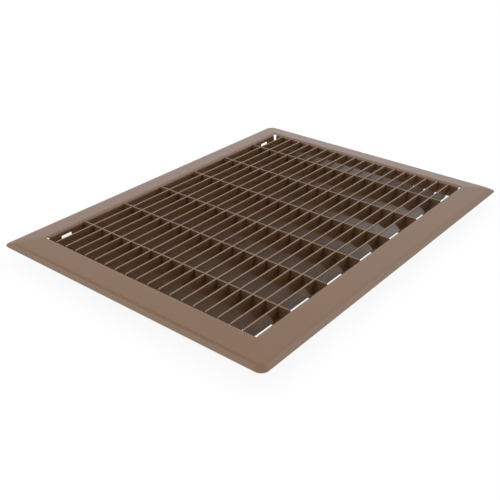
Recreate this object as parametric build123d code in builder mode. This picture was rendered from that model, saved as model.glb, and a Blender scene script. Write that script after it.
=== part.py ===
from build123d import *
import math
import os

# Floor return air grille: a frame pressed from one sheet, with a core of interlocked steel strips.
# The origin is on the floor that the flange rests on, in the middle of the opening.
# X runs along the blades, Y across them and Z up, all in millimetres.

# Frame sheet
overall_length = 397.0
overall_width = 297.0
sheet = 0.9

# Flange, from its outer edge inward: a sloping lip, a soft crease, a raised panel and the bend into the neck
flange_width = 28.7
lip_width = 5.2
lip_rise = 2.9
crease_radius = 8.0
shoulder_rise = 6.45
neck_bend = 3.2
corner_radius = 7.0
hip_radius = 2.0

# Neck walls, which hang into the duct opening
neck_depth = 7.8
corner_hole = 3.7
corner_gap = 1.2
slot_length = 12.0
slot_height = 5.0
slot_inset = 20.7
slot_top = 0.9

# Core strips
strip = 1.5
blade_depth = 12.7
bar_depth = 20.4
strip_corner = 1.5
blade_clip = 8.2
bar_clip = 11.6
clip_angle = 37.5
core_drop = 1.05
blade_pitch = 12.7
bar_pitch = 50.8
lap_clearance = 0.1

# Sizes that follow
neck_length = overall_length - 2 * flange_width
neck_width = overall_width - 2 * flange_width
panel_slope = math.atan2(shoulder_rise - lip_rise, flange_width - lip_width)
panel_end = flange_width - neck_bend * math.tan(math.pi / 4 + panel_slope / 2) * math.cos(panel_slope)
sheet_drop = sheet / math.cos(panel_slope)
blade_count = round(neck_width / blade_pitch) - 1
bar_count = round(neck_length / bar_pitch) - 1
blade_places = [(blade_count - 1 - 2 * n) * blade_pitch / 2 for n in range(blade_count)]
bar_places = [(2 * n - bar_count + 1) * bar_pitch / 2 for n in range(bar_count)]
core_top = shoulder_rise - core_drop
lap_end = core_top - blade_depth / 2
lap_width = strip + 2 * lap_clearance

# Points on the section of a side, drawn inward from its outer edge and upward from the floor
crease = (lip_width, lip_rise)
shoulder = (flange_width, shoulder_rise)
foot = (flange_width, -neck_depth)

# The sheet where it bends from the panel down into a neck wall
with BuildSketch(Plane.YZ) as bend_section:
    with BuildLine():
        FilletPolyline(crease, shoulder, foot, radius=neck_bend)
        offset(amount=sheet, side=Side.RIGHT)
    make_face()


def flange_form():
    """The block that the flange is pressed over: it slopes up to a soft crease and on to the shoulder."""
    loops = [(0, 0, corner_radius), (*crease, corner_radius), (*shoulder, hip_radius)]
    with BuildPart() as form:
        for inset, height, radius in loops:
            with BuildSketch(Plane.XY.offset(height)):
                RectangleRounded(overall_length - 2 * inset, overall_width - 2 * inset, radius)
        loft(ruled=True)
        fillet(form.edges().filter_by_position(Axis.Z, lip_rise, lip_rise), crease_radius)
    return form.part


def neck_side(side_length):
    """One neck wall with its bend, mitred at both ends: flange edge along X at y = 0, opening on the +Y side."""
    half = side_length / 2
    inner_limit = flange_width + corner_gap
    with BuildPart() as side:
        extrude(bend_section.sketch, amount=half, both=True)
        with BuildSketch(Plane.XY.offset(-neck_depth)):
            with BuildLine():
                Polyline(
                    (0, panel_end),
                    (half - panel_end, panel_end),
                    (half - inner_limit, inner_limit),
                    (0, inner_limit),
                )
                mirror(about=Plane.YZ)
            make_face()
        extrude(amount=neck_depth + shoulder_rise, mode=Mode.INTERSECT)
    return side.part


def strip_blank(length, depth, clip):
    """Outline of a strip on edge: rounded upper corners, and lower corners clipped off at a slant."""
    half = length / 2
    bottom = core_top - depth
    clip_top = bottom + clip * math.tan(math.radians(clip_angle))
    with BuildSketch() as blank:
        with BuildLine():
            Polyline(
                (-half, core_top),
                (half, core_top),
                (half, clip_top),
                (half - clip, bottom),
                (clip - half, bottom),
                (-half, clip_top),
                close=True,
            )
        make_face()
        fillet(blank.vertices().group_by(Axis.Y)[-1], strip_corner)
    return blank.sketch


def save(piece, name):
    """Label a finished piece and write it to a file of that name."""
    piece.label = name
    export_step(piece, f"parts/{name}.step")


os.makedirs("parts", exist_ok=True)

# Frame: the flange and the four neck walls, all one pressed sheet
end_x = overall_length / 2
end_y = overall_width / 2
form = flange_form()
long_side = neck_side(overall_length)
short_side = neck_side(overall_width)
with BuildPart() as frame:
    add(form)
    with Locations((0, 0, -sheet_drop)):
        add(form, mode=Mode.SUBTRACT)
    with BuildSketch():
        Rectangle(overall_length - 2 * panel_end, overall_width - 2 * panel_end)
    extrude(amount=shoulder_rise, mode=Mode.SUBTRACT)
    with Locations(Location((0, -end_y, 0)), Location((0, end_y, 0), (0, 0, 180))):
        add(long_side)
    with Locations(Location((end_x, 0, 0), (0, 0, 90)), Location((-end_x, 0, 0), (0, 0, 270))):
        add(short_side)
    # A round hole relieves the bends at each inner corner, and below it the walls stop short of each other.
    with BuildSketch(Plane.XY.offset(shoulder_rise)):
        with GridLocations(neck_length, neck_width, 2, 2):
            Circle(corner_hole / 2)
    extrude(amount=-2 * corner_hole, mode=Mode.SUBTRACT)
    with BuildSketch(Plane.XY.offset(-neck_depth)):
        with GridLocations(neck_length, neck_width, 2, 2):
            Rectangle(2 * corner_gap, 2 * corner_gap)
    extrude(amount=neck_depth + shoulder_rise, mode=Mode.SUBTRACT)
    # Two slots through each long neck wall, one near each end
    slot_x = neck_length / 2 - slot_inset
    with BuildSketch(Plane.XZ):
        with Locations((-slot_x, slot_top), (slot_x, slot_top)):
            Rectangle(slot_length, slot_height, align=(Align.CENTER, Align.MAX))
    extrude(amount=neck_width / 2 + sheet + corner_gap, both=True, mode=Mode.SUBTRACT)
save(frame.part, "frame")

# Blades: strips along X between the end walls, slotted from below where they straddle the cross bars
blade_blank = strip_blank(neck_length, blade_depth, blade_clip)
for number, y in enumerate(blade_places, start=1):
    with BuildPart() as blade:
        with BuildSketch(Plane.XZ.offset(-y)):
            add(blade_blank)
            with Locations([(x, lap_end) for x in bar_places]):
                Rectangle(lap_width, blade_depth, align=(Align.CENTER, Align.MAX), mode=Mode.SUBTRACT)
        extrude(amount=strip / 2, both=True)
    save(blade.part, f"blade_{number:02d}")

# Cross bars: deeper strips along Y between the long walls, slotted from above to take the blades
bar_blank = strip_blank(neck_width, bar_depth, bar_clip)
for number, x in enumerate(bar_places, start=1):
    with BuildPart() as cross_bar:
        with BuildSketch(Plane.YZ.offset(x)):
            add(bar_blank)
            with Locations([(y, lap_end) for y in blade_places]):
                Rectangle(lap_width, blade_depth, align=(Align.CENTER, Align.MIN), mode=Mode.SUBTRACT)
        extrude(amount=strip / 2, both=True)
    save(cross_bar.part, f"cross_bar_{number}")
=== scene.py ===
import math

import bpy
from mathutils import Matrix, Vector


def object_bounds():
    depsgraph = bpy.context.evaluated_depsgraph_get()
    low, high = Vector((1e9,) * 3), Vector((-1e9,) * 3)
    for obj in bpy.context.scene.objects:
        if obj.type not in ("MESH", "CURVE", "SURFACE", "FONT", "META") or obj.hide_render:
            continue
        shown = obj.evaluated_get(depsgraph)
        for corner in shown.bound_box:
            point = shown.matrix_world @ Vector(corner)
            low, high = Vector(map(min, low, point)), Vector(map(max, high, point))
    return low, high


# Floor return air grille: enamelled sheet steel frame with a core of steel strips. Lengths are in metres.
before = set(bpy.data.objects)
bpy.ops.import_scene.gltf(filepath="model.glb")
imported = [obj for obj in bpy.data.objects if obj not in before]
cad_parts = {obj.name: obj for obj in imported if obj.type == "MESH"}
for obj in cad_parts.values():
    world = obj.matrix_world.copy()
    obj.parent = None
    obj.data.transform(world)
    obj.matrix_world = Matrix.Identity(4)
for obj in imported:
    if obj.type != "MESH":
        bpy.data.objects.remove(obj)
cad_low, cad_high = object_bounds()

# Camera, fitted to the photograph
camera_place = Vector((-0.53723, -0.40614, 0.33772))
camera_target = Vector((-0.06434, -0.02954, 0.0))
camera_roll = math.radians(0.41)
camera_lens = 55.66
camera_sensor = 36.0

# Enamel of each kind of piece: lightest is a share of the brown, and roughest the upper end of the roughness
frame_brown = (0.187, 0.097, 0.044)
strip_brown = (0.168, 0.087, 0.039)
frame_finish = dict(brown=frame_brown, ior=1.5, ripple_size=0.0012, lightest=1.03, roughest=0.26)
blade_finish = dict(brown=strip_brown, ior=1.62, ripple_size=0.0010, lightest=1.05, roughest=0.17)
bar_finish = dict(brown=strip_brown, ior=1.42, ripple_size=0.0010, lightest=1.05, roughest=0.22)

# Drift of every enamel's tone and gloss, and its ripple
drift_scale = 14.0
drift_detail = 3.0
drift_low = 0.3
drift_high = 0.7
gloss_spread = 0.06
ripple_detail = 2.0
ripple_strength = 0.25
ripple_height = 0.00002

# Floor: going in from the flange's rim, its glow is full as far as glow_full and gone from glow_gone on
floor_side = 14.0
floor_albedo = 0.8
floor_glow = 0.92
glow_full = 0.0485
glow_gone = 0.0985

# Oval pools of painted light on the floor, a glow that only mirror rays see, shown in the blades as painted
# reflections: middle, half length, half width and level
painted_pools = [
    (0.080, -0.130, 0.120, 0.110, 1.0),
    (0.180, -0.015, 0.090, 0.090, 1.0),
    (0.040, -0.140, 0.360, 0.045, 0.70),
    (-0.020, -0.060, 0.220, 0.100, 0.15),
]

# Studio: walls and a lighter ceiling
wall_white = (0.80, 0.83, 0.90)
ceiling_white = (1.42, 1.42, 1.45)
wall_top = math.radians(13)
ceiling_start = math.radians(45)

# Round areas of the studio: bearing from +X toward +Y, height and radius to the start and end of the edge in
# degrees, then the level. They are a softbox on each side, a gap beside the left one and the dim side of
# the camera.
areas = [
    (-32.0, 42.0, 10.0, 20.0, 2.2),
    (122.0, 50.0, 10.0, 22.0, 2.3),
    (80.0, 50.0, 6.0, 16.0, 0.85),
    (230.5, 51.3, 36.3, 39.3, 0.28),
]


def grey(level):
    """A colour with the same level in every channel."""
    return (level, level, level, 1)


def link(tree, source, output, target, target_input):
    """Join one node's output to another node's input."""
    tree.links.new(source.outputs[output], target.inputs[target_input])


def combine(tree, operation, first, second):
    """The output of a math node that joins two values."""
    node = tree.nodes.new("ShaderNodeMath")
    node.operation = operation
    tree.links.new(first, node.inputs[0])
    tree.links.new(second, node.inputs[1])
    return node.outputs[0]


def smooth_step(tree, value, start, end, level=1):
    """An output that goes smoothly from 0 to a level while a value goes from start to end."""
    node = tree.nodes.new("ShaderNodeMapRange")
    node.interpolation_type = "SMOOTHSTEP"
    node.inputs["From Min"].default_value = start
    node.inputs["From Max"].default_value = end
    node.inputs["To Max"].default_value = level
    tree.links.new(value, node.inputs["Value"])
    return node.outputs["Result"]


def noise(tree, place, scale, detail):
    """A noise node over the object's own coordinates."""
    node = tree.nodes.new("ShaderNodeTexNoise")
    node.inputs["Scale"].default_value = scale
    node.inputs["Detail"].default_value = detail
    link(tree, place, "Object", node, "Vector")
    return node


def mix_colours(tree, factor, under, over):
    """A node that goes from one node's colour to a fixed colour as a factor goes from 0 to 1."""
    node = tree.nodes.new("ShaderNodeMix")
    node.data_type = "RGBA"
    node.inputs["B"].default_value = over
    link(tree, under, "Result", node, "A")
    tree.links.new(factor, node.inputs["Factor"])
    return node


def direct_view(tree):
    """An output that is 1 for what the camera sees by itself or through glass."""
    path = tree.nodes.new("ShaderNodeLightPath")
    return combine(tree, "MAXIMUM", path.outputs["Is Camera Ray"], path.outputs["Is Transmission Ray"])


def enamel(name, brown, ior, ripple_size, lightest, roughest):
    """Baked enamel on steel: a slow drift of tone, an uneven gloss and the fine ripple of sprayed paint."""
    material = bpy.data.materials.new(name)
    material.use_nodes = True
    tree = material.node_tree
    shader = tree.nodes["Principled BSDF"]
    shader.inputs["IOR"].default_value = ior
    place = tree.nodes.new("ShaderNodeTexCoord")

    drift = noise(tree, place, drift_scale, drift_detail)
    tone = tree.nodes.new("ShaderNodeMix")
    tone.data_type = "RGBA"
    tone.inputs["A"].default_value = (*(c * (2 - lightest) for c in brown), 1)
    tone.inputs["B"].default_value = (*(c * lightest for c in brown), 1)
    link(tree, drift, "Fac", tone, "Factor")
    link(tree, tone, "Result", shader, "Base Color")

    gloss = tree.nodes.new("ShaderNodeMapRange")
    gloss.inputs["From Min"].default_value = drift_low
    gloss.inputs["From Max"].default_value = drift_high
    gloss.inputs["To Min"].default_value = roughest - gloss_spread
    gloss.inputs["To Max"].default_value = roughest
    link(tree, drift, "Fac", gloss, "Value")
    link(tree, gloss, "Result", shader, "Roughness")

    ripple = noise(tree, place, 1 / ripple_size, ripple_detail)
    bump = tree.nodes.new("ShaderNodeBump")
    bump.inputs["Strength"].default_value = ripple_strength
    bump.inputs["Distance"].default_value = ripple_height
    link(tree, ripple, "Fac", bump, "Height")
    link(tree, bump, "Normal", shader, "Normal")
    return material


def dress_nodes():
    """Give every piece of the grille the enamel of its kind."""
    enamels = {
        "frame": enamel("frame_enamel", **frame_finish),
        "blade": enamel("blade_enamel", **blade_finish),
        "cross_bar": enamel("bar_enamel", **bar_finish),
    }
    for name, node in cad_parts.items():
        kind = next(kind for kind in enamels if name.startswith(kind))
        node.data.materials.clear()
        node.data.materials.append(enamels[kind])


def outside_core(tree):
    """An output that is 0 under the core and rises to 1 toward the flange and beyond it."""
    place = tree.nodes.new("ShaderNodeTexCoord")
    sides = tree.nodes.new("ShaderNodeVectorMath")
    sides.operation = "ABSOLUTE"
    link(tree, place, "Object", sides, 0)
    parts = tree.nodes.new("ShaderNodeSeparateXYZ")
    link(tree, sides, "Vector", parts, "Vector")
    ends = smooth_step(tree, parts.outputs["X"], cad_high.x - glow_gone, cad_high.x - glow_full)
    long_sides = smooth_step(tree, parts.outputs["Y"], cad_high.y - glow_gone, cad_high.y - glow_full)
    return combine(tree, "MAXIMUM", ends, long_sides)


def painted_pool_glow(tree):
    """An output for the painted pools of light: each pool's level at its middle, falling off toward its
    edge, and 0 elsewhere.
    """
    place = tree.nodes.new("ShaderNodeTexCoord")
    light = None
    for x, y, half_length, half_width, level in painted_pools:
        oval = tree.nodes.new("ShaderNodeMapping")
        oval.inputs["Location"].default_value = (-x / half_length, -y / half_width, 0)
        oval.inputs["Scale"].default_value = (1 / half_length, 1 / half_width, 0)
        link(tree, place, "Object", oval, "Vector")
        away = tree.nodes.new("ShaderNodeVectorMath")
        away.operation = "LENGTH"
        link(tree, oval, "Vector", away, 0)
        pool = smooth_step(tree, away.outputs["Value"], 1, 0, level)
        light = pool if light is None else combine(tree, "MAXIMUM", light, pool)
    return light


def floor_material():
    """White paper: plain for the light that it sends on, near full white where it is seen past the core, and
    glowing to mirror rays in painted pools of light.
    """
    material = bpy.data.materials.new("white_paper")
    material.use_nodes = True
    tree = material.node_tree
    tree.nodes.clear()
    output = tree.nodes.new("ShaderNodeOutputMaterial")
    plain = tree.nodes.new("ShaderNodeBsdfDiffuse")
    plain.inputs["Color"].default_value = grey(floor_albedo)

    glow = tree.nodes.new("ShaderNodeEmission")
    glow.inputs["Strength"].default_value = floor_glow
    shaded = tree.nodes.new("ShaderNodeBsdfDiffuse")
    shaded.inputs["Color"].default_value = grey(1 - floor_glow)
    white = tree.nodes.new("ShaderNodeAddShader")
    link(tree, glow, 0, white, 0)
    link(tree, shaded, 0, white, 1)

    path = tree.nodes.new("ShaderNodeLightPath")
    seen = combine(tree, "MULTIPLY", direct_view(tree), outside_core(tree))
    # Mirror rays see the painted pools of light, which the blades show as painted reflections.
    mirrored = combine(tree, "MULTIPLY", path.outputs["Is Glossy Ray"], painted_pool_glow(tree))
    choice = tree.nodes.new("ShaderNodeMixShader")
    tree.links.new(combine(tree, "MAXIMUM", seen, mirrored), choice.inputs[0])
    link(tree, plain, 0, choice, 1)
    link(tree, white, 0, choice, 2)
    link(tree, choice, 0, output, "Surface")
    return material


def add_floor():
    """The floor that the grille stands on, level with the foot of its cross bars."""
    half = floor_side / 2
    corners = [(-half, -half, 0), (half, -half, 0), (half, half, 0), (-half, half, 0)]
    mesh = bpy.data.meshes.new("floor")
    mesh.from_pydata(corners, [], [(0, 1, 2, 3)])
    mesh.materials.append(floor_material())
    floor = bpy.data.objects.new("floor", mesh)
    floor.location = (0, 0, cad_low.z)
    bpy.context.scene.collection.objects.link(floor)


def light_area(tree, place, under, bearing, height, inner, outer, level):
    """Set a round area of the studio to a level of its own, over what is there so far."""
    turn = math.radians(bearing)
    rise = math.radians(height)
    across = math.cos(rise)
    near = tree.nodes.new("ShaderNodeVectorMath")
    near.operation = "DOT_PRODUCT"
    near.inputs[1].default_value = (across * math.cos(turn), across * math.sin(turn), math.sin(rise))
    link(tree, place, "Generated", near, 0)
    start = math.cos(math.radians(outer))
    end = math.cos(math.radians(inner))
    inside = smooth_step(tree, near.outputs["Value"], start, end)
    return mix_colours(tree, inside, under, grey(level))


def add_world():
    """Studio walls, a lighter ceiling and the areas that differ from them; plain white in direct view."""
    world = bpy.data.worlds.new("studio")
    bpy.context.scene.world = world
    world.use_nodes = True
    tree = world.node_tree
    place = tree.nodes.new("ShaderNodeTexCoord")
    parts = tree.nodes.new("ShaderNodeSeparateXYZ")
    link(tree, place, "Generated", parts, "Vector")
    studio = tree.nodes.new("ShaderNodeMix")
    studio.data_type = "RGBA"
    studio.inputs["A"].default_value = (*wall_white, 1)
    studio.inputs["B"].default_value = (*ceiling_white, 1)
    climb = smooth_step(tree, parts.outputs["Z"], math.sin(wall_top), math.sin(ceiling_start))
    tree.links.new(climb, studio.inputs["Factor"])
    for area in areas:
        studio = light_area(tree, place, studio, *area)
    shown = mix_colours(tree, direct_view(tree), studio, grey(1))
    link(tree, shown, "Result", tree.nodes["Background"], "Color")


def add_camera():
    """The photograph's camera."""
    lens = bpy.data.cameras.new("camera")
    lens.lens = camera_lens
    lens.sensor_width = camera_sensor
    camera = bpy.data.objects.new("camera", lens)
    aim = (camera_target - camera_place).to_track_quat("-Z", "Y").to_matrix().to_4x4()
    camera.matrix_world = Matrix.Translation(camera_place) @ aim @ Matrix.Rotation(camera_roll, 4, "Z")
    bpy.context.scene.collection.objects.link(camera)
    bpy.context.scene.camera = camera


dress_nodes()
add_floor()
add_world()
add_camera()
bpy.context.scene.view_settings.view_transform = "Standard"
